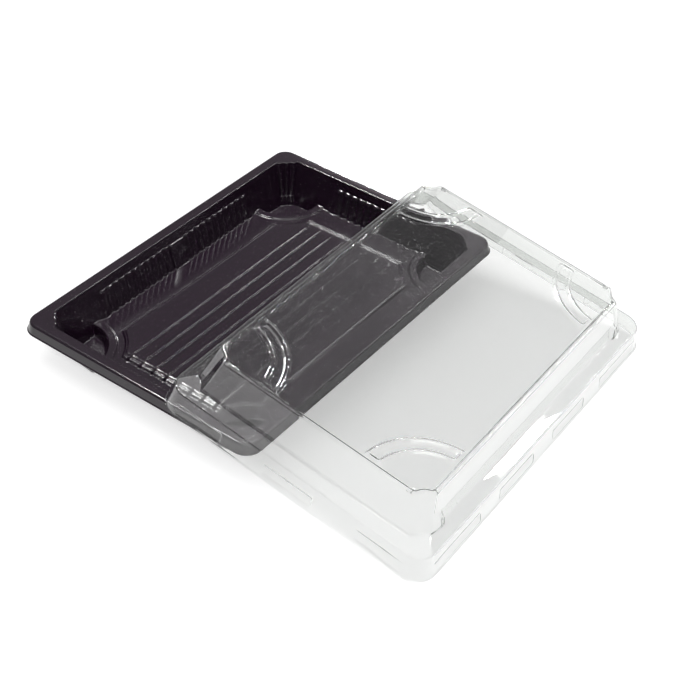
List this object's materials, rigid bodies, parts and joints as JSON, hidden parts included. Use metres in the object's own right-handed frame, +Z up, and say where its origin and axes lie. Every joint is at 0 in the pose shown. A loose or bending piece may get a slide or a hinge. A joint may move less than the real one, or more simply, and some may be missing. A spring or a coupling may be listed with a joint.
{
  "type": "takeaway sushi tray with loose lid",
  "caption": "Shallow oblong tray with a rim, fluted walls, ribbed raised floor and corner feet, with its deeper clear lid leaning loose over one long side.",
  "frame": {"origin": "centre of the whole part's footprint, on the surface it stands on, at the height of the tray's feet and the lid's near lip", "axes": "+X along the tray's long sides, +Y from the lid towards the open half of the tray, +Z up"},
  "size_m": [0.1952, 0.2186, 0.051],
  "materials": {
    "black_plastic": "glossy black moulded sheet with a faint purple cast",
    "clear_plastic": "clear glossy moulded sheet"
  },
  "bodies": {
    "root": {"tray": "black_plastic", "lid": "clear_plastic"}
  },
  "joints": []
}
